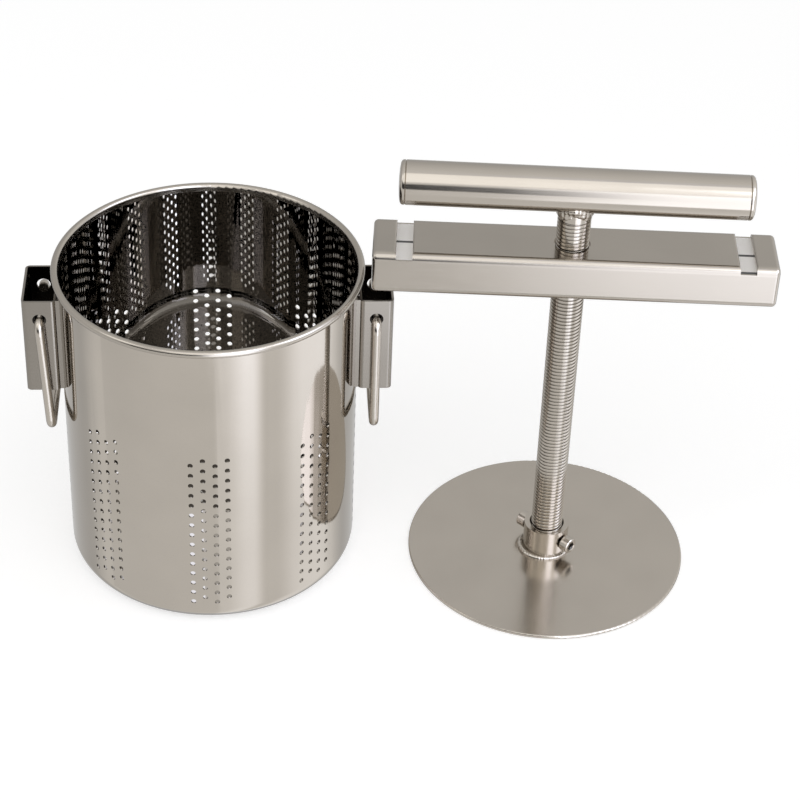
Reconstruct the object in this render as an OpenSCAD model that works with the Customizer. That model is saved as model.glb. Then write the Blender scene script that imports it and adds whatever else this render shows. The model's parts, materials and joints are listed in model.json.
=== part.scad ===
// Manual juice press in stainless steel, shown apart as it is stored on a table: the perforated
// bucket with its two hanging bails on the left, the screw press head standing on its plate on the right.
// +Z is up. The origin is the centre of the bucket's underside, the ears lie along X, and the press
// head stands on the +X side.

/* [Bucket] */
// Outside diameter of the bucket wall
bucket_d = 180; // [150:1:220]
// Height of the bucket to the top of the rolled rim
bucket_h = 206; // [180:1:240]
// Thickness of the drawn sheet
sheet_t = 0.9; // [0.7:0.1:1.5]
// Outside radius of the corner between wall and floor
corner_r = 10; // [6:0.5:12]
// Outside diameter of the rolled rim
rim_d = 4.6; // [4:0.1:6]

/* [Perforation] */
// Diameter of one juice hole
hole_d = 3.2; // [2:0.1:4]
// Number of upright strips of holes round the wall
strip_count = 8; // [4:4:8]
// Columns of holes in one strip
strip_columns = 4; // [2:1:4]
// Holes in one column
strip_rows = 15; // [8:1:15]
// Height from one hole to the next in a column
row_pitch = 7.55; // [6:0.05:8]
// Distance between columns, measured round the wall
column_pitch = 7.3; // [5.5:0.1:8]
// Height of the lowest hole
lowest_row_z = 16.5; // [13:0.5:20]

/* [Ears] */
// Size of the ear tube away from the wall
ear_w = 20.5; // [16:0.5:26]
// Size of the ear tube along the wall
ear_depth = 40; // [34:0.5:46]
// Length of the ear tube
ear_h = 64; // [50:1:70]
// Wall of the ear tube
ear_wall = 1.5; // [1:0.1:2.5]
// Outside radius of the ear tube's upright edges
ear_corner_r = 3; // [2.6:0.1:4]
// How far the ear's top lies under the bucket's rim
ear_drop = 14.7; // [10:0.1:20]
// Width of the weld seam that holds the ear to the wall
ear_weld_w = 3; // [2:0.5:5]

/* [Bails] */
// Diameter of the bail wire
wire_d = 5.8; // [4:0.1:6]
// Radial gap between the wire and its pivot hole in the ear
pivot_gap = 1.2; // [1:0.1:1.6]
// Depth of the pivot hole's centre under the ear's top
pivot_drop = 12.8; // [10:0.1:20]
// Gap under the wire where it hangs in its hole
hang_gap = 0.6; // [0.5:0.05:0.9]
// Gap between the bail's legs and the ear's faces
bail_side_gap = 0.8; // [0.5:0.1:2]
// Distance from the pivot to the underside of the hanging bow
bail_reach = 78.4; // [70:0.1:95]
// Radius of the wire's centre line where it turns into the ear
pivot_bend_r = 6.5; // [4:0.1:7]
// Radius of the wire's centre line at the bow's corners
bow_bend_r = 6.5; // [4:0.5:10]
// Length of wire that stands inside the ear's wall
wire_end = 3; // [2:0.5:6]
// Lean of the hanging left bail towards the bucket
left_bail_lean = 2.6; // [0:0.1:4]

/* [Crossbar] */
// Size of the crossbar tube from front to back
bar_depth = 42; // [37:0.5:46]
// Height of the crossbar tube
bar_h = 27.2; // [22:0.1:32]
// Wall of the crossbar tube
bar_wall = 1.5; // [1:0.1:2.5]
// Outside radius of the crossbar tube's long edges
bar_corner_r = 4.5; // [3:0.1:6]
// Length of crossbar outside each notch's middle
bar_overhang = 18.7; // [14:0.1:30]
// How far the crossbar's middle lies to the right of the screw
bar_offset = 2; // [0:0.1:2]
// Thickness of the plate that closes each end
bar_cap_t = 3.2; // [2:0.1:5]
// Radius of the end plate's outer edges
bar_end_r = 2.8; // [1:0.1:3]
// Width of the notch that takes a bail
notch_w = 9.6; // [7:0.1:12]
// Depth of the notch under the crossbar's top
notch_depth = 3.8; // [2.5:0.1:6]
// Radius of the notch's shoulders
notch_round = 1.2; // [0.4:0.1:2]
// Radial gap between the screw and the hole in the top wall
top_hole_gap = 0.9; // [0.5:0.1:4]
// Radial gap between the screw and the hole in the bottom wall
bottom_hole_gap = 1.5; // [1:0.1:4]
// Wall of the nut inside the crossbar
nut_wall = 5.7; // [4.5:0.1:6.5]

/* [Screw] */
// Diameter of the press screw over its thread
screw_d = 19.9; // [16:0.1:21]
// Radial clearance of the screw in its nut
thread_gap = 0.05; // [0.02:0.01:0.1]
// Length of screw between the crossbar's top and the handle
screw_above_bar = 23.3; // [18:0.1:40]
// Depth of the groove near the screw's lower end
groove_depth = 2.6; // [1.5:0.1:3.5]
// Play of a retaining screw up and down in that groove
groove_play = 0.5; // [0.4:0.1:1.5]
// Length of the bevel at the screw's lower end
screw_bevel = 1.5; // [0.5:0.1:3]
// Height of the weld under the handle
handle_weld_h = 6; // [3:0.5:8]
// Widening of the weld under the handle
handle_weld_flare = 1; // [0.5:0.1:2.4]

/* [Handle] */
// Outside diameter of the handle tube
handle_d = 26.4; // [24:0.1:32]
// Length of the handle over its caps
handle_len = 206.4; // [150:0.1:260]
// Wall of the handle tube
handle_wall = 1.5; // [1:0.1:2.5]
// Bevel of tube and cap where they meet
seam_bevel = 0.4; // [0.2:0.1:0.8]
// Rim thickness of an end cap
cap_rim = 2.4; // [1.5:0.1:4]
// Height of an end cap's dome over its rim
cap_dome = 1.4; // [0.6:0.1:3]
// Depth of an end cap's spigot inside the tube
cap_spigot = 6; // [3:0.5:12]
// Radial clearance of the spigot in the tube
spigot_gap = 0.1; // [0.05:0.05:0.3]

/* [Plate] */
// Gap between the plate's edge and the bucket's inner wall
plate_gap = 0.8; // [0.6:0.1:3]
// Thickness of the plate
plate_t = 2.5; // [2:0.1:5]
// Radius of the plate's edges
plate_edge_r = 0.9; // [0.4:0.1:0.95]

/* [Collar] */
// Wall of the collar on the plate
collar_wall = 3.6; // [2.5:0.1:5]
// Height of the collar over the plate
collar_h = 19.4; // [17:0.1:26]
// Radial gap between collar and screw
collar_gap = 0.75; // [0.2:0.05:1]
// Bevel inside the collar's mouth
collar_bevel = 0.3; // [0.2:0.1:1.6]
// Width of the weld round the collar's foot
collar_weld = 1.6; // [1:0.1:3]
// Gap between the screw's end and the plate
screw_end_gap = 0.3; // [0.2:0.05:0.5]
// Shank diameter of a retaining screw
stop_d = 6; // [5:0.5:6.5]
// Radial clearance of a retaining screw in the collar
stop_gap = 0.05; // [0.02:0.01:0.1]
// Height of the retaining screws over the plate
stop_z = 10.5; // [9:0.5:12]
// Gap between a retaining screw's tip and the groove's bottom
stop_tip_gap = 0.4; // [0.3:0.1:0.8]
// Head diameter of a retaining screw
stop_head_d = 10; // [9:0.1:12]
// Head length of a retaining screw
stop_head_h = 6; // [4:0.5:7]
// Length of shank between the collar and the head
stop_standoff = 0.7; // [0.4:0.1:3]
// Width across the flats of the hexagon socket in that head
socket_w = 5; // [4:0.5:5.5]
// Depth of that socket
socket_depth = 3; // [2:0.1:4]
// Direction of the near retaining screw
stop_yaw = -46; // [-80:1:-10]

/* [Parked head] */
// Gap between the right ear and the plate
park_gap = 15; // [10:0.1:40]
// How far the head stands in front of the bucket's middle
park_front = 21.6; // [0:0.1:40]
// Height of the parked crossbar over the bucket's rim
park_lift = 0.2; // [0:0.1:20]
// Turn of the crossbar
bar_yaw = -4.5; // [-8:0.1:8]
// Turn of the handle
handle_yaw = -5; // [-8:0.1:8]

/* [Hidden] */
$fn = 96;
fine_fn = 48;
cut = 1;

bucket_r = bucket_d / 2;
inner_r = bucket_r - sheet_t;
rim_r = rim_d / 2;
rim_x = inner_r + rim_r;
rim_z = bucket_h - rim_r;

column_turn = column_pitch / bucket_r * 180 / PI;

ear_top_z = bucket_h - ear_drop;
ear_gap = 0.1;
ear_in_x = bucket_r + ear_gap;
ear_out_x = ear_in_x + ear_w;
weld_y = ear_depth / 2 - ear_corner_r / 2 - ear_weld_w / 2;
weld_in_x = sqrt(bucket_r * bucket_r - ear_depth * ear_depth / 4) - cut;
pivot_hole_d = wire_d + 2 * pivot_gap;
pivot_hole_z = ear_top_z - pivot_drop;

wire_r = wire_d / 2;
pivot_x = ear_in_x + ear_w / 2;
pivot_z = pivot_hole_z - pivot_hole_d / 2 + wire_r + hang_gap;
leg_y = max(ear_depth, bar_depth) / 2 + bail_side_gap + wire_r;
bow_drop = bail_reach - wire_r;

plate_r = inner_r - plate_gap;
head_x = ear_out_x + park_gap + plate_r;
head_y = -park_front;

bar_len = 2 * (pivot_x + bar_overhang);
tube_len = bar_len - 2 * bar_cap_t;
bar_z = bucket_h + park_lift;
bar_top_z = bar_z + bar_h;
nut_h = bar_h - 2 * bar_wall;
top_hole_d = screw_d + 2 * top_hole_gap;
bottom_hole_d = screw_d + 2 * bottom_hole_gap;
nut_d = screw_d + 2 * (thread_gap + nut_wall);

screw_r = screw_d / 2;
screw_foot_z = plate_t + screw_end_gap;
handle_r = handle_d / 2;
handle_z = bar_top_z + screw_above_bar + handle_r;
collar_d = screw_d + 2 * (collar_gap + collar_wall);
groove_z = plate_t + stop_z;
groove_h = stop_d + 2 * groove_play;
groove_r = screw_r - groove_depth;
stop_r = stop_d / 2;
stop_tip_x = groove_r + stop_tip_gap;
stop_head_x = collar_d / 2 + stop_standoff;

cap_len = cap_rim + cap_dome;
handle_tube_len = handle_len - 2 * cap_len;
dome_r = (handle_r * handle_r + cap_dome * cap_dome) / (2 * cap_dome);

steel_bright = [0.74, 0.72, 0.69];
steel_satin = [0.67, 0.65, 0.62];
steel_dark = [0.52, 0.50, 0.48];

// Moves what is drawn round the screw's axis to where the head is parked
module at_head(yaw = 0) {
  translate([head_x, head_y, 0])
    rotate([0, 0, yaw])
      children();
}

// Rectangle with rounded corners, centred
module round_rect(w, h, r) {
  square([w - 2 * r, h], center = true);
  square([w, h - 2 * r], center = true);
  for (sx = [-1, 1], sy = [-1, 1])
    translate([sx * (w / 2 - r), sy * (h / 2 - r)])
      circle(r = r, $fn = fine_fn);
}

// Section of a rectangular tube with rounded edges
module tube_section(w, h, wall, r) {
  difference() {
    round_rect(w, h, r);
    round_rect(w - 2 * wall, h - 2 * wall, r - wall);
  }
}

// Half section of the bucket: floor, corner, wall and the rim that rolls outwards
module bucket_section() {
  square([bucket_r - corner_r, sheet_t]);
  translate([bucket_r - corner_r, corner_r])
    difference() {
      circle(r = corner_r);
      circle(r = corner_r - sheet_t);
      translate([-corner_r - cut, -corner_r - cut])
        square([corner_r + cut, 2 * (corner_r + cut)]);
      translate([-cut, 0])
        square([corner_r + 2 * cut, corner_r + cut]);
    }
  translate([inner_r, corner_r])
    square([sheet_t, rim_z - corner_r]);
  translate([rim_x, rim_z])
    difference() {
      circle(r = rim_r, $fn = fine_fn);
      circle(r = rim_r - sheet_t, $fn = fine_fn);
      translate([-rim_r - cut, -rim_r - cut])
        square([rim_r + cut, rim_r + cut]);
    }
}

// One strip of juice holes; every second column is set half a pitch higher
module hole_strip() {
  for (column = [0 : strip_columns - 1], row = [0 : strip_rows - 1])
    rotate([0, 0, (column - (strip_columns - 1) / 2) * column_turn])
      translate([bucket_r, 0, lowest_row_z + (row + (column % 2) / 2) * row_pitch])
        rotate([0, 90, 0])
          cylinder(d = hole_d, h = 4 * sheet_t, center = true, $fn = 24);
}

module bucket() {
  color(steel_bright)
    difference() {
      rotate_extrude()
        bucket_section();
      for (strip = [0 : strip_count - 1])
        rotate([0, 0, strip * 360 / strip_count])
          hole_strip();
    }
}

// Ear on the +X side: an open tube that stands against the wall, with its two weld seams
module ear() {
  difference() {
    union() {
      translate([ear_in_x + ear_w / 2, 0, ear_top_z - ear_h])
        linear_extrude(height = ear_h)
          tube_section(ear_w, ear_depth, ear_wall, ear_corner_r);
      for (side = [-1, 1])
        translate([weld_in_x, side * weld_y - ear_weld_w / 2, ear_top_z - ear_h])
          cube([ear_in_x + ear_corner_r / 2 - weld_in_x, ear_weld_w, ear_h]);
    }
    cylinder(r = bucket_r, h = bucket_h);
    translate([ear_in_x + ear_w / 2, 0, ear_top_z - ear_h - cut])
      linear_extrude(height = ear_h + 2 * cut)
        round_rect(ear_w - 2 * ear_wall, ear_depth - 2 * ear_wall, ear_corner_r - ear_wall);
    translate([pivot_x, 0, pivot_hole_z])
      rotate([90, 0, 0])
        cylinder(d = pivot_hole_d, h = ear_depth + 2 * cut, center = true);
  }
}

module left_ear() {
  color(steel_satin)
    mirror([1, 0, 0])
      ear();
}

module right_ear() {
  color(steel_satin)
    ear();
}

// Quarter bend of the wire about its own centre, from straight up round to +Y
module wire_bend(bend_r) {
  rotate([90, 0, 90])
    rotate_extrude(angle = 90)
      translate([bend_r, 0])
        circle(r = wire_r, $fn = fine_fn);
}

// Half of a bail on the +X side: end in the ear, turn, leg, turn and half of the bow
module half_bail() {
  end_y = ear_depth / 2 - ear_wall - wire_end;
  translate([pivot_x, end_y, pivot_z])
    rotate([-90, 0, 0])
      cylinder(r = wire_r, h = leg_y - pivot_bend_r - end_y, $fn = fine_fn);
  translate([pivot_x, leg_y - pivot_bend_r, pivot_z - pivot_bend_r])
    wire_bend(pivot_bend_r);
  translate([pivot_x, leg_y, pivot_z - bow_drop + bow_bend_r])
    cylinder(r = wire_r, h = bow_drop - bow_bend_r - pivot_bend_r, $fn = fine_fn);
  translate([pivot_x, leg_y - bow_bend_r, pivot_z - bow_drop + bow_bend_r])
    mirror([0, 0, 1])
      wire_bend(bow_bend_r);
  translate([pivot_x, 0, pivot_z - bow_drop])
    rotate([-90, 0, 0])
      cylinder(r = wire_r, h = leg_y - bow_bend_r, $fn = fine_fn);
}

module bail() {
  half_bail();
  mirror([0, 1, 0])
    half_bail();
}

module left_bail() {
  color(steel_bright)
    mirror([1, 0, 0])
      translate([pivot_x, 0, pivot_z])
        rotate([0, left_bail_lean, 0])
          translate([-pivot_x, 0, -pivot_z])
            bail();
}

module right_bail() {
  color(steel_bright)
    bail();
}

// Outline of a notch, from its bottom up through its rounded shoulders
module notch_outline() {
  translate([-notch_w / 2, -notch_depth])
    square([notch_w, notch_depth + cut]);
  difference() {
    translate([-notch_w / 2 - notch_round, -notch_round])
      square([notch_w + 2 * notch_round, notch_round + cut]);
    for (side = [-1, 1])
      translate([side * (notch_w / 2 + notch_round), -notch_round])
        circle(r = notch_round, $fn = fine_fn);
  }
}

// Floor and sides of a pressed notch: the tube's top wall dips under it and keeps its thickness
module notch_floor() {
  intersection() {
    rotate([90, 0, 90])
      linear_extrude(height = notch_w + 2 * bar_wall, center = true)
        round_rect(bar_depth - bar_wall, bar_h - bar_wall, bar_corner_r - bar_wall / 2);
    translate([0, 0, (bar_h - notch_depth - bar_wall) / 2])
      cube([2 * notch_w, 2 * bar_depth, notch_depth + bar_wall], center = true);
  }
}

// Tube of the crossbar with its two notches
module notched_tube() {
  difference() {
    union() {
      translate([-tube_len / 2, 0, bar_z + bar_h / 2])
        rotate([90, 0, 90])
          linear_extrude(height = tube_len)
            tube_section(bar_depth, bar_h, bar_wall, bar_corner_r);
      for (side = [-1, 1])
        translate([side * pivot_x, 0, bar_z + bar_h / 2])
          notch_floor();
    }
    for (side = [-1, 1])
      translate([side * pivot_x, bar_depth / 2 + cut, bar_top_z])
        rotate([90, 0, 0])
          linear_extrude(height = bar_depth + 2 * cut)
            notch_outline();
  }
}

module crossbar() {
  color(steel_satin)
    at_head(bar_yaw)
      difference() {
        translate([bar_offset, 0, 0])
          notched_tube();
        translate([0, 0, bar_top_z])
          cylinder(d = top_hole_d, h = 2 * bar_wall + cut, center = true);
        translate([0, 0, bar_z])
          cylinder(d = bottom_hole_d, h = 2 * bar_wall + cut, center = true);
      }
}

// Section of an end plate's edge, outwards along X and up from its seat along Y
module cap_edge() {
  square([bar_corner_r - bar_end_r, bar_cap_t]);
  square([bar_corner_r, bar_cap_t - bar_end_r]);
  translate([bar_corner_r - bar_end_r, bar_cap_t - bar_end_r])
    intersection() {
      circle(r = bar_end_r, $fn = fine_fn);
      square(bar_end_r);
    }
}

// End plate with rounded edges, drawn along +Z from its seat: middle, four sides and four corners
module end_plate() {
  half_h = bar_h / 2 - bar_corner_r;
  half_depth = bar_depth / 2 - bar_corner_r;
  translate([-half_h, -half_depth, 0])
    cube([2 * half_h, 2 * half_depth, bar_cap_t]);
  for (turn = [0, 180])
    rotate([0, 0, turn]) {
      translate([half_h, half_depth, 0])
        rotate([90, 0, 0])
          linear_extrude(height = 2 * half_depth)
            cap_edge();
      rotate([0, 0, 90])
        translate([half_depth, half_h, 0])
          rotate([90, 0, 0])
            linear_extrude(height = 2 * half_h)
              cap_edge();
      translate([half_h, half_depth, 0])
        rotate_extrude(angle = 90)
          cap_edge();
      translate([-half_h, half_depth, 0])
        rotate([0, 0, 90])
          rotate_extrude(angle = 90)
            cap_edge();
    }
}

// End plate of the crossbar, welded on flush
module crossbar_cap(side) {
  color(steel_satin)
    at_head(bar_yaw)
      translate([bar_offset + side * tube_len / 2, 0, bar_z + bar_h / 2])
        rotate([0, side * 90, 0])
          end_plate();
}

module crossbar_left_cap() {
  crossbar_cap(-1);
}

module crossbar_right_cap() {
  crossbar_cap(1);
}

// Threaded bush welded between the crossbar's walls; its bore runs on the screw
module screw_nut() {
  color(steel_dark)
    at_head()
      translate([0, 0, bar_z + bar_wall])
        difference() {
          cylinder(d = nut_d, h = nut_h);
          translate([0, 0, -cut])
            cylinder(r = screw_r + thread_gap, h = nut_h + 2 * cut);
        }
}

// Screw with its bevelled foot, its groove for the retaining screws and the weld under the handle
module press_screw() {
  shaft_top = handle_z - handle_r;
  color(steel_satin)
    at_head(handle_yaw)
      difference() {
        rotate_extrude()
          polygon([
            [0, screw_foot_z],
            [screw_r - screw_bevel, screw_foot_z],
            [screw_r, screw_foot_z + screw_bevel],
            [screw_r, groove_z - groove_h / 2],
            [groove_r, groove_z - groove_h / 2],
            [groove_r, groove_z + groove_h / 2],
            [screw_r, groove_z + groove_h / 2],
            [screw_r, shaft_top - handle_weld_h],
            [screw_r + handle_weld_flare, shaft_top],
            [screw_r + handle_weld_flare, handle_z],
            [0, handle_z]
          ]);
        translate([0, 0, handle_z])
          rotate([0, 90, 0])
            cylinder(d = handle_d, h = handle_d * 2, center = true);
      }
}

// Tube whose ends are bevelled, so that a fine seam shows before each cap
module handle_tube() {
  half_len = handle_tube_len / 2;
  bore_r = handle_r - handle_wall;
  color(steel_bright)
    at_head(handle_yaw)
      translate([0, 0, handle_z])
        rotate([0, 90, 0])
          rotate_extrude()
            polygon([
              [bore_r, -half_len],
              [handle_r - seam_bevel, -half_len],
              [handle_r, seam_bevel - half_len],
              [handle_r, half_len - seam_bevel],
              [handle_r - seam_bevel, half_len],
              [bore_r, half_len]
            ]);
}

// End cap with a low dome outside and a hollow spigot inside the tube, drawn along +Z from its seat
module end_cap() {
  spigot_r = handle_r - handle_wall - spigot_gap;
  difference() {
    union() {
      cylinder(r1 = handle_r - seam_bevel, r2 = handle_r, h = seam_bevel);
      translate([0, 0, seam_bevel])
        cylinder(r = handle_r, h = cap_rim - seam_bevel);
      intersection() {
        translate([0, 0, cap_len - dome_r])
          sphere(r = dome_r);
        translate([0, 0, cap_rim / 2])
          cylinder(r = handle_r, h = cap_len);
      }
      translate([0, 0, -cap_spigot])
        cylinder(r = spigot_r, h = cap_spigot + cap_rim / 2);
    }
    translate([0, 0, -cap_spigot - cut])
      cylinder(r = spigot_r - handle_wall, h = cap_spigot + cut);
  }
}

module handle_cap(side) {
  color(steel_satin)
    at_head(handle_yaw)
      translate([side * handle_tube_len / 2, 0, handle_z])
        rotate([0, side * 90, 0])
          end_cap();
}

module handle_left_cap() {
  handle_cap(-1);
}

module handle_right_cap() {
  handle_cap(1);
}

// Round pressing plate with softened edges
module press_plate() {
  color(steel_satin)
    at_head()
      rotate_extrude() {
        square([plate_r - plate_edge_r, plate_t]);
        translate([0, plate_edge_r])
          square([plate_r, plate_t - 2 * plate_edge_r]);
        for (z = [plate_edge_r, plate_t - plate_edge_r])
          translate([plate_r - plate_edge_r, z])
            circle(r = plate_edge_r, $fn = fine_fn);
      }
}

// Collar welded on the plate, with a bevelled mouth and a tapped hole for each retaining screw
module plate_collar() {
  bore_r = screw_r + collar_gap;
  color(steel_satin)
    at_head(stop_yaw)
      translate([0, 0, plate_t])
        difference() {
          rotate_extrude()
            polygon([
              [bore_r, 0],
              [collar_d / 2 + collar_weld, 0],
              [collar_d / 2, collar_weld],
              [collar_d / 2, collar_h],
              [bore_r + collar_bevel, collar_h],
              [bore_r, collar_h - collar_bevel]
            ]);
          translate([0, 0, stop_z])
            rotate([0, 90, 0])
              cylinder(r = stop_r + stop_gap, h = 2 * collar_d, center = true);
        }
}

// Places a retaining screw in the collar's tapped hole
module retaining_screw() {
  color(steel_dark)
    at_head(stop_yaw)
      translate([0, 0, groove_z])
        children();
}

// Socket-head screw along +X whose tip stands in the press screw's groove
module socket_screw() {
  head_end = stop_head_x + stop_head_h;
  rotate([0, 90, 0])
    difference() {
      union() {
        translate([0, 0, stop_tip_x])
          cylinder(r = stop_r, h = stop_head_x + cut - stop_tip_x, $fn = fine_fn);
        translate([0, 0, stop_head_x])
          cylinder(d = stop_head_d, h = stop_head_h, $fn = fine_fn);
      }
      translate([0, 0, head_end - socket_depth])
        cylinder(d = socket_w / cos(30), h = socket_depth + cut, $fn = 6);
    }
}

module near_retaining_screw() {
  retaining_screw()
    socket_screw();
}

module far_retaining_screw() {
  retaining_screw()
    rotate([0, 0, 180])
      socket_screw();
}

bucket();
left_ear();
right_ear();
left_bail();
right_bail();
crossbar();
crossbar_left_cap();
crossbar_right_cap();
screw_nut();
press_screw();
handle_tube();
handle_left_cap();
handle_right_cap();
press_plate();
plate_collar();
near_retaining_screw();
far_retaining_screw();
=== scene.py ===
# %% [markdown]
# # A hand screw press for juice, taken apart
# The press is stainless steel throughout. On the left stands a perforated bucket with two wire bails, on
# the right the press head: handle, screw, crossbar and plate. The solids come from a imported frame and
# stay as they are. This lesson gives each one its finish, and models the small work that the solids
# leave plain: the screw thread, the weld beads, the handle's caps and the retaining screws.

# %% Load the solids
import json
import math

import bpy
from mathutils import Matrix, Vector


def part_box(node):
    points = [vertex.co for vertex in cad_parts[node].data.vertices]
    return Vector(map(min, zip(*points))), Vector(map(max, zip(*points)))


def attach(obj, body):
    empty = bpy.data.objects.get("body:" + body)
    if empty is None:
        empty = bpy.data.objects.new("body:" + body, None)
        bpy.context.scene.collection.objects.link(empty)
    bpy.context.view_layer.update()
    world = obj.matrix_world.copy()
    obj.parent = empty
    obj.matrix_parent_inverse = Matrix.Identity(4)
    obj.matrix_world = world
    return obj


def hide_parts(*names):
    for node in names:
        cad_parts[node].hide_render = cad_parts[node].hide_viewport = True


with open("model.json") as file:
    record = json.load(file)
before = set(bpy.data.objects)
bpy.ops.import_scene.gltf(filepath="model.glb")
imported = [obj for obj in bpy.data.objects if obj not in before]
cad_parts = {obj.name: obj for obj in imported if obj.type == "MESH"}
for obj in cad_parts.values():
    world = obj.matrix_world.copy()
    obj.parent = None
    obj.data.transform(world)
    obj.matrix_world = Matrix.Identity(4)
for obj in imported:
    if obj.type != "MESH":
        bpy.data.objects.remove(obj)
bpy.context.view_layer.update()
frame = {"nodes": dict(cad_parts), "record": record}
nodes = frame["nodes"]
scene = bpy.context.scene
MM = 0.001

# %% [markdown]
# ## The camera
# The photograph looks down on the press from in front. A camera is three turns and a place: the pitch
# below the horizon, the yaw to the side, and a slight roll. The long lens keeps the uprights nearly
# parallel, as they are in the picture.

# %% Camera
CAMERA_AT = Vector((27.9, -1152.2, 959.0)) * MM
CAMERA_PITCH = math.radians(36.519)
CAMERA_YAW = math.radians(-4.467)
CAMERA_ROLL = math.radians(2.345)
CAMERA_LENS = 103.313

bpy.ops.object.camera_add()
camera = bpy.context.object
camera.data.lens = CAMERA_LENS
camera.matrix_world = (
    Matrix.Translation(CAMERA_AT)
    @ Matrix.Rotation(CAMERA_YAW, 4, "Z")
    @ Matrix.Rotation(math.pi / 2 - CAMERA_PITCH, 4, "X")
    @ Matrix.Rotation(CAMERA_ROLL, 4, "Z")
)
scene.camera = camera
scene.view_settings.view_transform = "Standard"
print(f"camera {CAMERA_AT.length:.2f} m from the bucket's foot")

# %% [markdown]
# ## Shader maths in Python
# A finish is a network of nodes. Written out link by link it is hard to read, so one small class wraps a
# socket: sums and products of such values add Math nodes by themselves, and one method adds every other
# kind of node.


# %% A value in a shader
class Value:
    """A socket in a node tree. Sums, differences and products of values add Math nodes."""

    def __init__(self, tree, socket):
        self.tree = tree
        self.socket = socket

    def node(self, kind, settings=None, sockets=None, out=0):
        """Adds a node, sets it up, fills or links its sockets, and returns one of its outputs."""
        made = self.tree.nodes.new(kind)
        for name, setting in (settings or {}).items():
            setattr(made, name, setting)
        for name, value in (sockets or {}).items():
            self.feed(made.inputs[name], value)
        return Value(self.tree, made.outputs[out])

    def feed(self, target, value):
        """Links a value to a socket, or sets a plain number or colour on it."""
        if isinstance(value, Value):
            self.tree.links.new(value.socket, target)
        else:
            target.default_value = value

    def maths(self, operation, first, second=0.0):
        """A Math node on one or two values."""
        return self.node("ShaderNodeMath", {"operation": operation}, {0: first, 1: second})

    def __add__(self, other):
        return self.maths("ADD", self, other)

    def __sub__(self, other):
        return self.maths("SUBTRACT", self, other)

    def __rsub__(self, other):
        return self.maths("SUBTRACT", other, self)

    def __mul__(self, other):
        return self.maths("MULTIPLY", self, other)

    def __lt__(self, other):
        return self.maths("LESS_THAN", self, other)

    def __gt__(self, other):
        return self.maths("GREATER_THAN", self, other)

    def __abs__(self):
        return self.maths("ABSOLUTE", self)

    __radd__ = __add__
    __rmul__ = __mul__

    def axis(self, name):
        """One of a vector's three parts."""
        return self.node("ShaderNodeSeparateXYZ", {}, {0: self}, out="XYZ".index(name))

    def ramp(self, low, high, low_value, high_value):
        """A soft step from low_value to high_value as this value goes from low to high."""
        sockets = {"Value": self, 1: low, 2: high, 3: low_value, 4: high_value}
        return self.node("ShaderNodeMapRange", {"interpolation_type": "SMOOTHSTEP"}, sockets)

    def band(self, first_edge, last_edge):
        """1 between two soft edges and 0 outside. An edge is where it begins and where it ends."""
        return self.ramp(*first_edge, 0, 1) * self.ramp(*last_edge, 1, 0)


# %% [markdown]
# ## The studio
# The press stands on a pale floor in an even white surround. To the camera both are white. Polished steel
# shows the studio only as mirror images, so for mirror rays the surround is a room. A direction in it is
# told by its bearing about Z, where -90 degrees is the front and 0 degrees is the right, and by its rise,
# which is 0 at the horizon and 1 straight up.
#
# The room's floor is darker at the back, a little darker at the left, and has two strips of daylight on
# it, which the bucket mirrors.
# The walls are brighter towards the ceiling, the front and the right, with a dark skirting to the front
# left and a window to the front right. Two tall windows further to the right show only where light went
# by way of the plate: in the collar, and in the plate's image on the bucket. Daylight is a little cooler
# than the lamps.

# %% Surround
AMBIENT = 0.55
FRONT_STRIP, RIGHT_STRIP = 0.85, 0.65
LEFT_SHADE, FAR_SHADE, SKIRTING_SHADE = 0.08, 0.35, 0.95
WALL, WALL_HIGHER, WALL_FRONT, WALL_RIGHT = 0.8, 0.27, 0.26, 0.4
WINDOW, TALL_WINDOW = 1.45, 3
WINDOW_EDGE = (-92.5, -89.5)
COOL_GREEN, COOL_BLUE = 0.03, 0.12
TALL_COOL = 2

world = bpy.data.worlds.new("studio")
scene.world = world
world.use_nodes = True


def ray_kinds(tree):
    """1 for rays from the camera or through glass, and 1 for mirror rays."""
    paths = tree.nodes.new("ShaderNodeLightPath")
    camera_ray, through, mirror = (
        Value(tree, paths.outputs[f"Is {kind} Ray"]) for kind in ("Camera", "Transmission", "Glossy")
    )
    return camera_ray + through, mirror


tree = world.node_tree
direct, mirror = ray_kinds(tree)
towards = Value(tree, tree.nodes.new("ShaderNodeTexCoord").outputs["Generated"])
rightward, backward, rise = (towards.axis(name) for name in "XYZ")
bearing = towards.maths("ARCTAN2", backward, rightward) * math.degrees(1)

front_strip = bearing.ramp(-88, -81, 0, 0.35) + bearing.ramp(-80, -60, 0, 0.65)
front_strip = front_strip * bearing.ramp(-57, -44, 1, 0)
right_strip = bearing.ramp(-50, -42, 0, 0.15) + bearing.ramp(-38, -13, 0, 0.85)
right_strip = right_strip * bearing.ramp(4, 32, 1, 0)
daylight = FRONT_STRIP * front_strip + RIGHT_STRIP * right_strip
daylight = daylight * rise.ramp(-0.65, -0.58, 0.55, 1)
left_side = bearing.ramp(-175, -115, 1, 0)
far_side = bearing.band((20, 45), (150, 178))
ground = 1 + daylight - LEFT_SHADE * left_side - FAR_SHADE * far_side

skirting = bearing.band((-160, -140), WINDOW_EDGE) * rise.ramp(0.3, 0.46, 1, 0)
walls = WALL + WALL_HIGHER * rise - WALL_FRONT * backward + rightward.ramp(0, 0.9, 0, WALL_RIGHT)
walls = walls * (1 - SKIRTING_SHADE * skirting)
window = bearing.band(WINDOW_EDGE, (-62, -54)) * rise.band((-0.58, -0.55), (0.4, 0.6))
tall_windows = bearing.band((-84, -79), (-56, -46)) + bearing.band((-40, -25), (-5, 2))
tall_windows = tall_windows * rise.band((0.25, 0.45), (0.75, 0.9))

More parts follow.
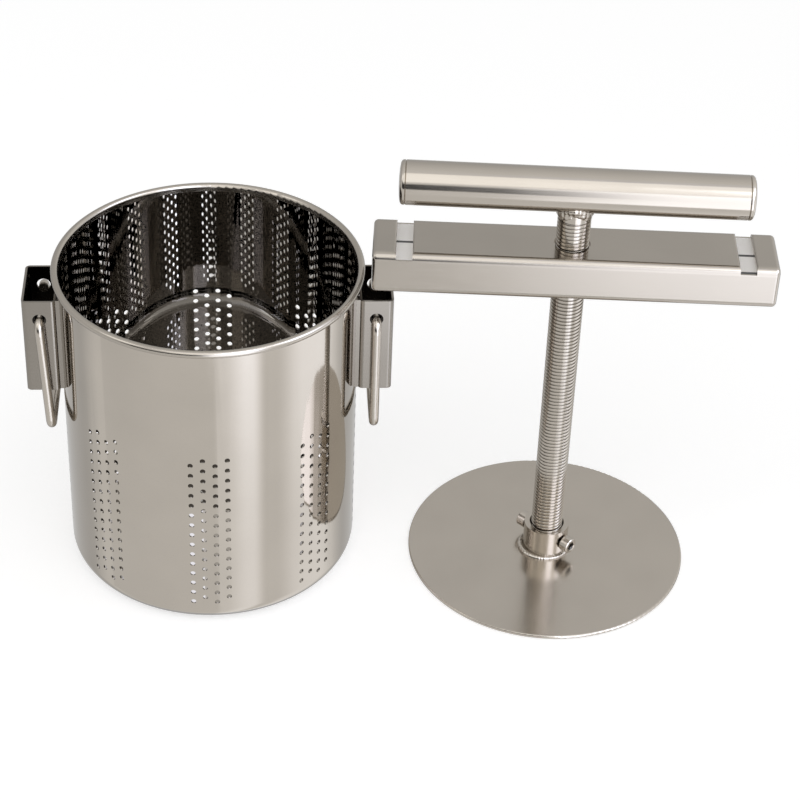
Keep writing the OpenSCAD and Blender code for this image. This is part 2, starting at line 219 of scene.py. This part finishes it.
upper = rise.ramp(-0.12, -0.06, 0, 1)
room = ground * (1 - upper) + walls * upper + WINDOW * window + TALL_WINDOW * tall_windows
cool = mirror * (window + daylight + TALL_COOL * tall_windows)
white = {"Red": 1.0, "Green": 1 + COOL_GREEN * cool, "Blue": 1 + COOL_BLUE * cool}
surround = tree.nodes["Background"]
direct.feed(surround.inputs["Color"], direct.node("ShaderNodeCombineColor", {}, white))
direct.feed(surround.inputs["Strength"], direct + mirror * room + (1 - direct - mirror) * AMBIENT)
print("white surround, matt light at", AMBIENT)

# %% [markdown]
# ## The floor
# The floor is plain and white, and takes a soft shadow. Mirror rays pass through it to the surround,
# whose lower half stands for it there.

# %% Floor
FLOOR_RADIUS = 6
FLOOR_SIDES = 96
FLOOR_AT = (0, 0, -0.2 * MM)
FLOOR_COLOUR = (0.8, 0.8, 0.8, 1)
FLOOR_FILL = 0.48

bpy.ops.object.select_all(action="DESELECT")
bpy.ops.mesh.primitive_circle_add(
    vertices=FLOOR_SIDES, radius=FLOOR_RADIUS, fill_type="NGON", location=FLOOR_AT
)
floor = bpy.context.object
floor.name = "floor"
floor_paint = bpy.data.materials.new("floor_paint")
floor_paint.use_nodes = True
tree = floor_paint.node_tree
direct = ray_kinds(tree)[0]
matt = direct.node("ShaderNodeBsdfDiffuse", {}, {"Color": FLOOR_COLOUR})
glow = direct.node("ShaderNodeEmission", {}, {"Strength": direct * FLOOR_FILL})
both = direct.node("ShaderNodeAddShader", {}, {0: matt, 1: glow})
direct.feed(tree.nodes["Material Output"].inputs["Surface"], both)
floor.data.materials.append(floor_paint)
floor.visible_glossy = False
print("floor", FLOOR_RADIUS, "m in radius")

# %% [markdown]
# ## The lamps
# One large soft lamp hangs in front and to the right, high enough to lay a long highlight on the handle.
# A smaller one lights the left.

# %% Lamps
LOOK_AT = Vector((110, -10, 120)) * MM


def soft_lamp(name, at, size, shine):
    """A rectangular lamp that faces the press. Its shine is its brightness, where 1 is white."""
    bpy.ops.object.light_add(type="AREA", location=at)
    lamp = bpy.context.object
    lamp.name = name
    lamp.data.shape = "RECTANGLE"
    lamp.data.size, lamp.data.size_y = size
    lamp.data.energy = shine * math.pi * size[0] * size[1]
    lamp.rotation_euler = (LOOK_AT - Vector(at)).to_track_quat("-Z", "Y").to_euler()


soft_lamp("front_lamp", at=(0.25, -1.05, 1.75), size=(2.2, 1.5), shine=0.72)
soft_lamp("left_lamp", at=(-1.3, -0.5, 1.3), size=(0.7, 0.9), shine=1.0)
print("two lamps set")

# %% [markdown]
# ## Steel
# All the pieces are stainless steel, and differ only in how they were worked. Polished sheet mirrors
# its surroundings, satin tube blurs them along the grain, and drawn wire lies between. A finish is then
# a colour, a roughness, and the scale and direction of its grain.

# %% A steel finish
PLATE_LOW, PLATE_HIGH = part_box("press_plate")
HEAD_AT = Vector(((PLATE_LOW.x + PLATE_HIGH.x) / 2, (PLATE_LOW.y + PLATE_HIGH.y) / 2, 0))
STEEL = (0.44, 0.402, 0.352)
CLOUD_SCALE, CLOUD_DETAIL = 22, 3
CLOUD_SHADE, CLOUD_ROUGH = 0.14, 0.05
GRAIN_SCALE = 1500
GRAIN_DEPTH = 0.02 * MM
GRAIN_STRENGTH, SWELL_STRENGTH = 0.15, 1.0


class Steel:
    """A steel finish as it is being made: its shader, its colour, its roughness and its relief."""

    def __init__(self, name, shade, rough):
        self.material = bpy.data.materials.new(name)
        self.material.use_nodes = True
        tree = self.material.node_tree
        self.shader = tree.nodes["Principled BSDF"]
        self.shader.inputs["Metallic"].default_value = 1
        self.place = Value(tree, tree.nodes.new("ShaderNodeTexCoord").outputs["Object"])
        cloud = self.noise(self.place, CLOUD_SCALE, CLOUD_DETAIL)
        self.brightness = shade * (1 - CLOUD_SHADE / 2 + CLOUD_SHADE * cloud)
        self.rough = rough + CLOUD_ROUGH * (cloud - 0.5)
        self.metal = self.neutral = self.relief = None

    def noise(self, place, scale, detail=4.0):
        """Cloudy values about 0.5."""
        return place.node("ShaderNodeTexNoise", {}, {"Vector": place, "Scale": scale, "Detail": detail})

    def along(self, stretch=(1, 1, 1), turn=0.0):
        """Coordinates about the head's axis, turned about Z, and drawn out along the axes."""
        sockets = {"Vector": self.place, "Location": HEAD_AT, "Rotation": (0, 0, turn), "Scale": stretch}
        return self.place.node("ShaderNodeMapping", {"vector_type": "TEXTURE"}, sockets)

    def grain(self, place, scale=GRAIN_SCALE, shade=0.06, rough=0.06, depth=GRAIN_DEPTH):
        """Fine lines in colour, roughness and relief."""
        lines = self.noise(place, scale)
        self.brightness = self.brightness * (1 - shade / 2 + shade * lines)
        self.rough = self.rough + rough * (lines - 0.5)
        self.emboss(lines, depth, GRAIN_STRENGTH)

    def swell(self, scale, depth):
        """The slow waves that hand polishing leaves."""
        self.emboss(self.noise(self.place, scale, 1), depth, SWELL_STRENGTH)

    def emboss(self, height, depth, strength):
        """Adds relief to what there is."""
        sockets = {"Strength": strength, "Distance": depth, "Height": height}
        if self.relief:
            sockets["Normal"] = self.relief
        self.relief = self.place.node("ShaderNodeBump", {}, sockets)

    def darken(self, where, share):
        """Takes a share of the brightness away where a mask is 1."""
        self.brightness = self.brightness * (1 - share * where)

    def unworked(self, where, shade, rough, metal=1.0, grey=0.5):
        """Where a mask is 1, the grey skin that no polishing has reached."""
        self.brightness = self.brightness * (1 + (shade - 1) * where)
        self.rough = self.rough + rough * where
        self.metal = 1 + (metal - 1) * where
        self.neutral = grey * where

    def made(self):
        """Joins the network to the shader, and gives the material."""
        parts = {}
        for channel, part in zip(("Red", "Green", "Blue"), STEEL):
            if self.neutral:
                part = part + (STEEL[1] - part) * self.neutral
            parts[channel] = self.brightness * part
        feeds = {"Base Color": self.place.node("ShaderNodeCombineColor", {}, parts)}
        feeds.update({"Roughness": self.rough, "Metallic": self.metal, "Normal": self.relief})
        for name, value in feeds.items():
            if value:
                self.place.feed(self.shader.inputs[name], value)
        return self.material


print("steel of colour", STEEL)

# %% [markdown]
# ## Wire, handle, plate, screw and fasteners
# The wire's grain runs along its straight arms, as it left the drawing die. The handle was polished along
# its length, and the plate was brushed from front to back. The roots of the screw's thread get painted
# shade, and the sockets of the retaining screws are painted darker for the shade in them. Both places are
# found by their distance from an axis.

# %% Plain finishes
BAR_TURN = math.radians(-4.5)
WIRE_DRAW, HANDLE_DRAW, PLATE_DRAW = 12, 40, 40

wire = Steel("bright_wire", shade=1.0, rough=0.24)
wire.grain(wire.along((1, 1, WIRE_DRAW)))

round_tube = Steel("polished_tube", shade=1.0, rough=0.13)
round_tube.grain(round_tube.along((HANDLE_DRAW, 1, 1), BAR_TURN))

plate_steel = Steel("satin_plate", shade=1.03, rough=0.2)
plate_steel.grain(plate_steel.along((1, PLATE_DRAW, 1)), shade=0.04, rough=0.05, depth=0.001 * MM)

SCREW_R = 9.93 * MM
THREAD_DEPTH = 0.5 * MM
ROOT_PAINTED_SHADE = 0.3

thread_steel = Steel("threaded_steel", shade=0.95, rough=0.14)
thread_steel.grain(thread_steel.place)
screw_place = thread_steel.along()
screw_x, screw_y = screw_place.axis("X"), screw_place.axis("Y")
in_root = screw_x * screw_x + screw_y * screw_y < (SCREW_R - THREAD_DEPTH / 2) ** 2
# Painted shade in the roots of the thread.
thread_steel.darken(in_root, ROOT_PAINTED_SHADE)

NEAR_LOW, NEAR_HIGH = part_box("near_retaining_screw")
STOP_TURN = math.radians(-46)
STOP_END = 20.95 * MM
BORE_R = 2.95 * MM
BORE_PAINTED_SHADE = 0.85
groove_z = (NEAR_LOW.z + NEAR_HIGH.z) / 2

fastener = Steel("fastener_steel", shade=1.05, rough=0.22)
fastener.grain(fastener.place, 1800)
stop_place = fastener.along(turn=STOP_TURN)
aside, above = stop_place.axis("Y"), stop_place.axis("Z") - groove_z
in_bore = aside * aside + above * above < BORE_R**2
# Painted shade inside the sockets of the screw heads.
fastener.darken(in_bore * (abs(stop_place.axis("X")) < STOP_END), BORE_PAINTED_SHADE)
print("five finishes drawn up")

# %% [markdown]
# ## The bucket, outside and inside
# The sheet came polished on both sides, and lost some of its colour inside, where no wheel reached it
# after drawing. Its distance from the bucket's axis tells the two sides apart. The rolled rim kept the
# satin look of the rolling tool. The light goes to and fro inside, so the holes show again and again in
# the far wall.

# %% Sheet finish
SKIN = 0.2 * MM
INNER_R = 89.1 * MM
RIM_H = 4.6 * MM
RIM_SHADE, RIM_ROUGH = 0.12, 0.14

sheet = Steel("polished_sheet", shade=1.0, rough=0.06)
sheet.grain(sheet.place, 900, shade=0.03, rough=0.02, depth=0.002 * MM)
sheet.swell(30, 0.015 * MM)
across, deep = sheet.place.axis("X"), sheet.place.axis("Y")
inside = across * across + deep * deep < (INNER_R + SKIN) ** 2
on_rim = sheet.place.axis("Z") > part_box("bucket")[1].z - RIM_H
sheet.unworked(inside * (1 - on_rim), shade=0.95, rough=-0.045)
sheet.darken(on_rim, RIM_SHADE)
sheet.rough = sheet.rough + RIM_ROUGH * on_rim
print("bucket grey within", INNER_R, "m, rim satin over", RIM_H, "m")

# %% [markdown]
# ## The tubes
# The crossbar's tube was polished before its notches were pressed in. Their floors are light and matt,
# with painted shade along the middle, where the sheet is split, and across the front of the right one,
# where it is torn off. The same coordinates that run the grain along the bar find these places. The ears
# were cut from a smaller tube, which is duller, and their insides get painted shade.

# %% Tube finish
BAR_LOW, BAR_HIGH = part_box("crossbar")
EAR_LOW, EAR_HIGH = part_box("right_ear")
BAR_DEPTH = 42 * MM
BAR_DRAW = 30
TUBE_WALL = 1.5 * MM
EAR_WIDTH = 20.5 * MM
SPLIT = 2.2 * MM
TEAR = 2.2 * MM
# The shades inside the ears and in the notches' split and tear are painted shade.
EAR_SHADE, EAR_INSIDE_PAINTED_SHADE, GAP_PAINTED_SHADE = 0.36, 0.75, 0.9

tube = Steel("satin_tube", shade=0.88, rough=0.17)
tube.grain(tube.along((BAR_DRAW, 1, 1), BAR_TURN))
bar_place = tube.along(turn=BAR_TURN)
bar_across, height = bar_place.axis("Y"), bar_place.axis("Z")
inner_half = BAR_DEPTH / 2 - TUBE_WALL + SKIN
in_notch = (abs(bar_across) < inner_half) * (height > BAR_LOW.z + TUBE_WALL)
in_notch = in_notch * (height < BAR_HIGH.z - 2 * TUBE_WALL)
tear = (bar_place.axis("X") > 0) * (bar_across < TEAR - inner_half)
painted_gap_mask = tear.maths("MAXIMUM", tear, abs(bar_across) < SPLIT / 2)

away = abs(tube.place.axis("X"))
on_ear = height < EAR_HIGH.z + SKIN
within = away > EAR_HIGH.x - EAR_WIDTH + TUBE_WALL - SKIN
within = within * (away < EAR_HIGH.x - TUBE_WALL + SKIN)
in_ear = on_ear * within * (abs(tube.place.axis("Y")) < EAR_HIGH.y - TUBE_WALL + SKIN)
tube.darken(on_ear, EAR_SHADE)
# Painted shade inside the hollow ears.
tube.darken(in_ear, EAR_INSIDE_PAINTED_SHADE)
# Painted shade in the split along the notch floors and in the tear at the right one's front.
tube.darken(in_notch * painted_gap_mask, GAP_PAINTED_SHADE)
tube.unworked(in_notch, shade=2.4, rough=0.4, metal=0.15, grey=0.7)
print("tube dull on the ears, matt in the notches")

# %% [markdown]
# ## Finishes on the solids
# The record of the part says which finish each solid has, so a loop over the record hands them out.

# %% Hand out the finishes
FINISHES = {
    "polished_sheet": sheet.made(),
    "satin_tube": tube.made(),
    "bright_wire": wire.made(),
    "threaded_steel": thread_steel.made(),
    "polished_tube": round_tube.made(),
    "satin_plate": plate_steel.made(),
    "fastener_steel": fastener.made(),
}
for part in frame["record"]["subparts"]:
    piece = nodes[part["node"]]
    piece.data.materials.clear()
    piece.data.materials.append(FINISHES[part["material_slot"]])
print(f"{len(FINISHES)} finishes on {len(nodes)} solids")

# %% [markdown]
# ## Tools for the small work
# Turned, wound and welded pieces each have one way of making. A lathe piece grows from a disc that is
# extruded from ring to ring. A thread is one tooth's outline wound up the axis. A weld is a row of drops
# that melt into each other. Each piece is then set in place, with its place kept in its mesh, so that it
# can ride on its body.

# %% Turning, winding, welding
# One tooth of a thread, as points: how deep each one lies below the crest, as a share of the thread's
# depth, and how far up it lies, as a share of the pitch.
TOOTH = ((1, 0), (0.3, 0.06), (0, 0.11), (0, 0.6), (0.3, 0.65), (1, 0.71), (1, 1))


def opened(name):
    """Names the object that was just added, and opens it in edit mode with everything selected."""
    made = bpy.context.object
    made.name = name
    bpy.ops.object.mode_set(mode="EDIT")
    bpy.ops.mesh.select_all(action="SELECT")
    return made


def closed(crease=30):
    """Points all faces outwards, leaves edit mode, and shades smooth up to the crease angle."""
    bpy.ops.mesh.select_all(action="SELECT")
    bpy.ops.mesh.normals_make_consistent(inside=False)
    bpy.ops.object.mode_set(mode="OBJECT")
    bpy.ops.object.shade_smooth_by_angle(angle=math.radians(crease))


def turned(name, rings, sides=48):
    """A lathe piece about Z: a disc, extruded from ring to ring. A ring is a radius and a height."""
    radius, height = rings[0]
    bpy.ops.object.select_all(action="DESELECT")
    bpy.ops.mesh.primitive_circle_add(
        vertices=sides, radius=radius, fill_type="NGON", location=(0, 0, height)
    )
    bpy.ops.object.transform_apply(location=True)
    made = opened(name)
    for next_radius, next_height in rings[1:]:
        step = {"value": (0, 0, next_height - height)}
        bpy.ops.mesh.extrude_region_move(TRANSFORM_OT_translate=step)
        grow = next_radius / radius
        bpy.ops.transform.resize(value=(grow, grow, 1), center_override=(0, 0, next_height))
        radius, height = next_radius, next_height
    closed()
    return made


def threaded(name, crest, depth, pitch, low, high, steps=32):
    """A screw thread about Z: one tooth is drawn point by point, wound up, and sawn off at both ends."""
    tooth = [(crest - sunk * depth, along * pitch) for sunk, along in TOOTH]
    bpy.ops.object.select_all(action="DESELECT")
    bpy.ops.mesh.primitive_plane_add(size=pitch, location=(tooth[0][0], 0, low - pitch))
    bpy.ops.object.transform_apply(location=True)
    made = opened(name)
    bpy.ops.mesh.merge(type="CENTER")
    for (radius, height), (next_radius, next_height) in zip(tooth, tooth[1:]):
        step = {"value": (next_radius - radius, 0, next_height - height)}
        bpy.ops.mesh.extrude_vertices_move(TRANSFORM_OT_translate=step)
    bpy.ops.object.mode_set(mode="OBJECT")
    winding = made.modifiers.new("winding", "SCREW")
    winding.screw_offset = pitch
    winding.iterations = math.ceil((high - low) / pitch) + 2
    winding.steps = winding.render_steps = steps
    bpy.ops.object.modifier_apply(modifier=winding.name)
    opened(name)
    bpy.ops.mesh.remove_doubles(threshold=pitch / 1000)
    for height, up in ((low, 1), (high, -1)):
        bpy.ops.mesh.select_all(action="SELECT")
        bpy.ops.mesh.bisect(
            plane_co=(0, 0, height), plane_no=(0, 0, up), use_fill=True, clear_inner=True
        )
    closed()
    return made


def welded(name, drops, skin, repeat=4):
    """A weld: drops at their places, joined, and melted together by a voxel remesh of that skin."""
    bpy.ops.object.select_all(action="DESELECT")
    balls = []
    for at, radius in drops:
        bpy.ops.mesh.primitive_ico_sphere_add(subdivisions=2, radius=radius, location=at)
        balls.append(bpy.context.object)
    for ball in balls:
        ball.select_set(True)
    bpy.ops.object.join()
    bpy.ops.object.transform_apply(location=True)
    made = bpy.context.object
    melt = made.modifiers.new("melt", "REMESH")
    melt.mode = "VOXEL"
    melt.voxel_size = skin
    bpy.ops.object.modifier_apply(modifier=melt.name)
    opened(name)
    bpy.ops.mesh.vertices_smooth(factor=0.5, repeat=repeat)
    closed(180)
    return made


def joined(name, *parts):
    """Makes one object of several."""
    bpy.ops.object.select_all(action="DESELECT")
    for part in parts:
        part.select_set(True)
    bpy.context.view_layer.objects.active = parts[0]
    bpy.ops.object.join()
    parts[0].name = name
    return parts[0]


def on_axis(height=0.0):
    """The move from the tool's own axes to a height on the head's axis."""
    return Matrix.Translation(HEAD_AT + Vector((0, 0, height)))


def seated(piece, body, slot, turn=None):
    """Moves a piece from the tool's own axes to its place, gives it its finish, and lets it ride."""
    if turn is not None:
        bpy.ops.object.select_all(action="DESELECT")
        piece.select_set(True)
        bpy.context.view_layer.objects.active = piece
        piece.matrix_world = turn
        bpy.ops.object.transform_apply(location=True, rotation=True, scale=True)
    piece.data.materials.clear()
    piece.data.materials.append(FINISHES[slot])
    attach(piece, body)
    print(f"{piece.name}: {len(piece.data.polygons)} faces on {body}")


print("tools ready: turned, threaded, welded, joined, seated")

# %% [markdown]
# ## The press screw
# It is a 20 mm screw with a coarse thread, cut from bar and welded to the handle. Its foot runs in the
# plate's collar: a bevel, a plain neck, and a groove for the tips of the two retaining screws. The thread
# stays just inside the solid's outline, so that it turns free in the nut.

# %% Press screw
PITCH = 2.5 * MM
FOOT_BEVEL = 1.5 * MM
GROOVE_R = 7.35 * MM
GROOVE_H = 7 * MM
WELD_H = 6 * MM
HANDLE_R = 13.2 * MM
NECK_BEVEL = 0.6 * MM
OVERLAP = 1 * MM

HANDLE_LOW, HANDLE_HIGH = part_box("handle_tube")
foot_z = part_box("press_screw")[0].z
handle_z = (HANDLE_LOW.z + HANDLE_HIGH.z) / 2
groove_low, groove_high = groove_z - GROOVE_H / 2, groove_z + GROOVE_H / 2
thread_low = groove_high + OVERLAP
thread_high = handle_z - HANDLE_R - WELD_H + OVERLAP

foot_rings = [
    (SCREW_R - FOOT_BEVEL, foot_z),
    (SCREW_R, foot_z + FOOT_BEVEL),
    (SCREW_R, groove_low),
    (GROOVE_R, groove_low),
    (GROOVE_R, groove_high),
    (SCREW_R, groove_high),
    (SCREW_R, thread_low),
]
neck_rings = [
    (SCREW_R - THREAD_DEPTH, thread_high),
    (SCREW_R, thread_high + NECK_BEVEL),
    (SCREW_R, handle_z - HANDLE_R + OVERLAP),
]
foot = turned("screw_foot", foot_rings)
thread = threaded("screw_thread", SCREW_R, THREAD_DEPTH, PITCH, thread_low, thread_high)
neck = turned("screw_neck", neck_rings)
press_screw = joined("press_screw_turned", thread, foot, neck)
seated(press_screw, "spindle", "threaded_steel", on_axis())
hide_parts("press_screw")

# %% [markdown]
# ## The weld under the handle
# The screw's end is welded to the underside of the handle all round. The seam follows the saddle where
# the two cylinders meet, so the drops climb to the front and the back. Three rings of them, each a little
# narrower than the one above, make the bead run out on the screw.

# %% Handle weld
HANDLE_TURN = math.radians(-5)
WELD_LAYERS = 3
WELD_DROPS = 23
WELD_SKIN = 0.35 * MM
WELD_SMOOTHING = 10
DROP_R = 1.9 * MM
DROP_STEP = 1.7 * MM
FIRST_INSET, LAYER_INSET = 0.4 * MM, 0.5 * MM
UNEVEN, UNEVEN_STEP, UNEVEN_LAYER = 0.22, 5.3, 900

weld_drops = []
for layer in range(WELD_LAYERS):
    ring, sink = SCREW_R - FIRST_INSET - layer * LAYER_INSET, layer * DROP_STEP
    for number in range(WELD_DROPS):
        turn = 2 * math.pi * number / WELD_DROPS
        uneven = 1 + UNEVEN * math.sin(UNEVEN_STEP * number + UNEVEN_LAYER * sink)
        side = ring * math.sin(turn)
        under = handle_z - math.sqrt(HANDLE_R**2 - side**2)
        weld_drops.append(((ring * math.cos(turn), side, under - sink), DROP_R * uneven))
handle_weld = welded("handle_weld", weld_drops, WELD_SKIN, WELD_SMOOTHING)
seated(handle_weld, "spindle", "threaded_steel", on_axis() @ Matrix.Rotation(HANDLE_TURN, 4, "Z"))

# %% [markdown]
# ## The handle's end caps
# A cap is turned with a low dome, and its edge is rounded off so that it lies well in the hand. Its
# spigot is pressed into the tube, and a fine bevel marks the seam between the two.

# %% Handle caps
HALF_HANDLE = 103.2 * MM
CAP_H = 3.8 * MM
CAP_SIDES = 64
# Radius and height in mm: the spigot, the bevel at the seam, the rounded edge and the dome.
CAP_RINGS = (
    (11.6, -6), (11.6, 0),
    (12.8, 0), (13.2, 0.4), (13.2, 1.1),
    (12.95, 1.9), (12.3, 2.6), (11.2, 3.05),
    (8, 3.5), (4, 3.75), (0.4, 3.8),
)

cap_rings = [(radius * MM, height * MM) for radius, height in CAP_RINGS]
for side, node in ((-1, "handle_left_cap"), (1, "handle_right_cap")):
    cap = turned(node + "_turned", cap_rings, CAP_SIDES)
    lying = Matrix.Rotation(HANDLE_TURN, 4, "Z") @ Matrix.Rotation(side * math.pi / 2, 4, "Y")
    out = Matrix.Translation((0, 0, HALF_HANDLE - CAP_H))
    seated(cap, "spindle", "polished_tube", on_axis(handle_z) @ lying @ out)
    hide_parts(node)

# %% [markdown]
# ## The retaining screws
# Two socket-head screws stand in the collar and keep the plate on the press screw. The head is turned
# with a bevelled rim, and its hexagon socket, which is pressed in when the screw is made, is cut out here
# with a six-sided punch. The drill before it leaves a cone at the socket's bottom.

# %% Retaining screws
STOP_R = 2.95 * MM
STOP_TIP = 7.75 * MM
STOP_PITCH = 1 * MM
STOP_DEPTH = 0.5 * MM
STOP_STEPS = 20
HEAD_LOW, HEAD_HIGH = 15 * MM, 21 * MM
HEAD_R = 5 * MM
HEAD_BEVEL = 0.5 * MM
SHANK_OVERLAP = 0.1 * MM
SOCKET_R = 2.5 * MM / math.cos(math.radians(30))
SOCKET_DEPTH = 3 * MM
CONE_R, CONE_DEPTH = 0.2 * SOCKET_R, 1.3 * SOCKET_DEPTH

head_rings = [
    (HEAD_R - HEAD_BEVEL / 2, HEAD_LOW),
    (HEAD_R, HEAD_LOW + HEAD_BEVEL / 2),
    (HEAD_R, HEAD_HIGH - HEAD_BEVEL),
    (HEAD_R - HEAD_BEVEL, HEAD_HIGH),
]
punch_rings = [
    (CONE_R, HEAD_HIGH - CONE_DEPTH),
    (SOCKET_R, HEAD_HIGH - SOCKET_DEPTH),
    (SOCKET_R, HEAD_HIGH + SOCKET_DEPTH),
]


def retaining_screw(name):
    """A screw along Z, with its tip at the groove."""
    shank_end = HEAD_LOW + SHANK_OVERLAP
    shank = threaded("shank", STOP_R, STOP_DEPTH, STOP_PITCH, STOP_TIP, shank_end, STOP_STEPS)
    head = turned(name, head_rings)
    punch = turned("punch", punch_rings, sides=6)
    punching = head.modifiers.new("punching", "BOOLEAN")
    punching.object = punch
    bpy.context.view_layer.objects.active = head
    bpy.ops.object.modifier_apply(modifier=punching.name)
    bpy.data.objects.remove(punch)
    return joined(name, head, shank)


for half_turn, node in ((0, "near_retaining_screw"), (math.pi, "far_retaining_screw")):
    stop = retaining_screw(node + "_turned")
    lying = Matrix.Rotation(STOP_TURN + half_turn, 4, "Z") @ Matrix.Rotation(math.pi / 2, 4, "Y")
    seated(stop, "press_plate", "fastener_steel", on_axis(groove_z) @ lying)
    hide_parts(node)

# %% [markdown]
# ## The weld round the collar
# The collar's foot is welded to the plate. The bead was run in one go, so its ripples lie close together,
# and it is heavier at the left, where the torch began and ended.

# %% Collar weld
COLLAR_R = 14.3 * MM
COLLAR_DROPS = 52
COLLAR_DROP_R = 1.5 * MM
COLLAR_SKIN = 0.3 * MM
BEAD_OUT, BEAD_UP = 0.55 * MM, 0.45 * MM
HEAVY_TURN = math.radians(20)
HEAVY_OUT, HEAVY_GROWTH = 1.3 * MM, 0.5
RIPPLE, RIPPLE_STEP = 0.05, 2.7

collar_drops = []
for number in range(COLLAR_DROPS):
    turn = 2 * math.pi * number / COLLAR_DROPS
    heavy = max(0, -math.cos(turn - HEAVY_TURN)) ** 2
    ring = COLLAR_R + BEAD_OUT + HEAVY_OUT * heavy
    at = (ring * math.cos(turn), ring * math.sin(turn), PLATE_HIGH.z + BEAD_UP)
    growth = 1 + HEAVY_GROWTH * heavy + RIPPLE * math.sin(RIPPLE_STEP * number)
    collar_drops.append((at, COLLAR_DROP_R * growth))
collar_weld = welded("collar_weld", collar_drops, COLLAR_SKIN)
seated(collar_weld, "press_plate", "satin_plate", on_axis())

# %% [markdown]
# ## The welds at the ears
# Each ear is held by two upright seams, deep in the valleys between its back and the round wall, where
# little is seen of them. A seam is a stack of drops, run from the bottom to the top.

# %% Ear welds
SEAM_X, SEAM_Y = 89.6 * MM, 13 * MM
SEAM_SKIN = 0.25 * MM
SEAM_DROP_R = 0.9 * MM
SEAM_STEP = 0.5 * MM
SEAM_SWAY, SWAY_STEP = 0.15 * MM, 0.2
SEAM_RIPPLE, SEAM_RIPPLE_STEP = 0.05, 0.9

seam_count = int((EAR_HIGH.z - EAR_LOW.z) / SEAM_STEP) - 1
for side, ear in ((-1, "left"), (1, "right")):
    for end, word in ((-1, "front"), (1, "back")):
        seam = []
        for number in range(seam_count):
            sway = SEAM_SWAY * math.sin(SWAY_STEP * number + side)
            at = (side * SEAM_X + sway, end * SEAM_Y, EAR_LOW.z + (number + 1) * SEAM_STEP)
            ripple = 1 + SEAM_RIPPLE * math.sin(SEAM_RIPPLE_STEP * number)
            seam.append((at, SEAM_DROP_R * ripple))
        bead = welded(f"{ear}_ear_{word}_weld", seam, SEAM_SKIN)
        seated(bead, "bucket", "satin_tube")

# %% End
print("scene built")
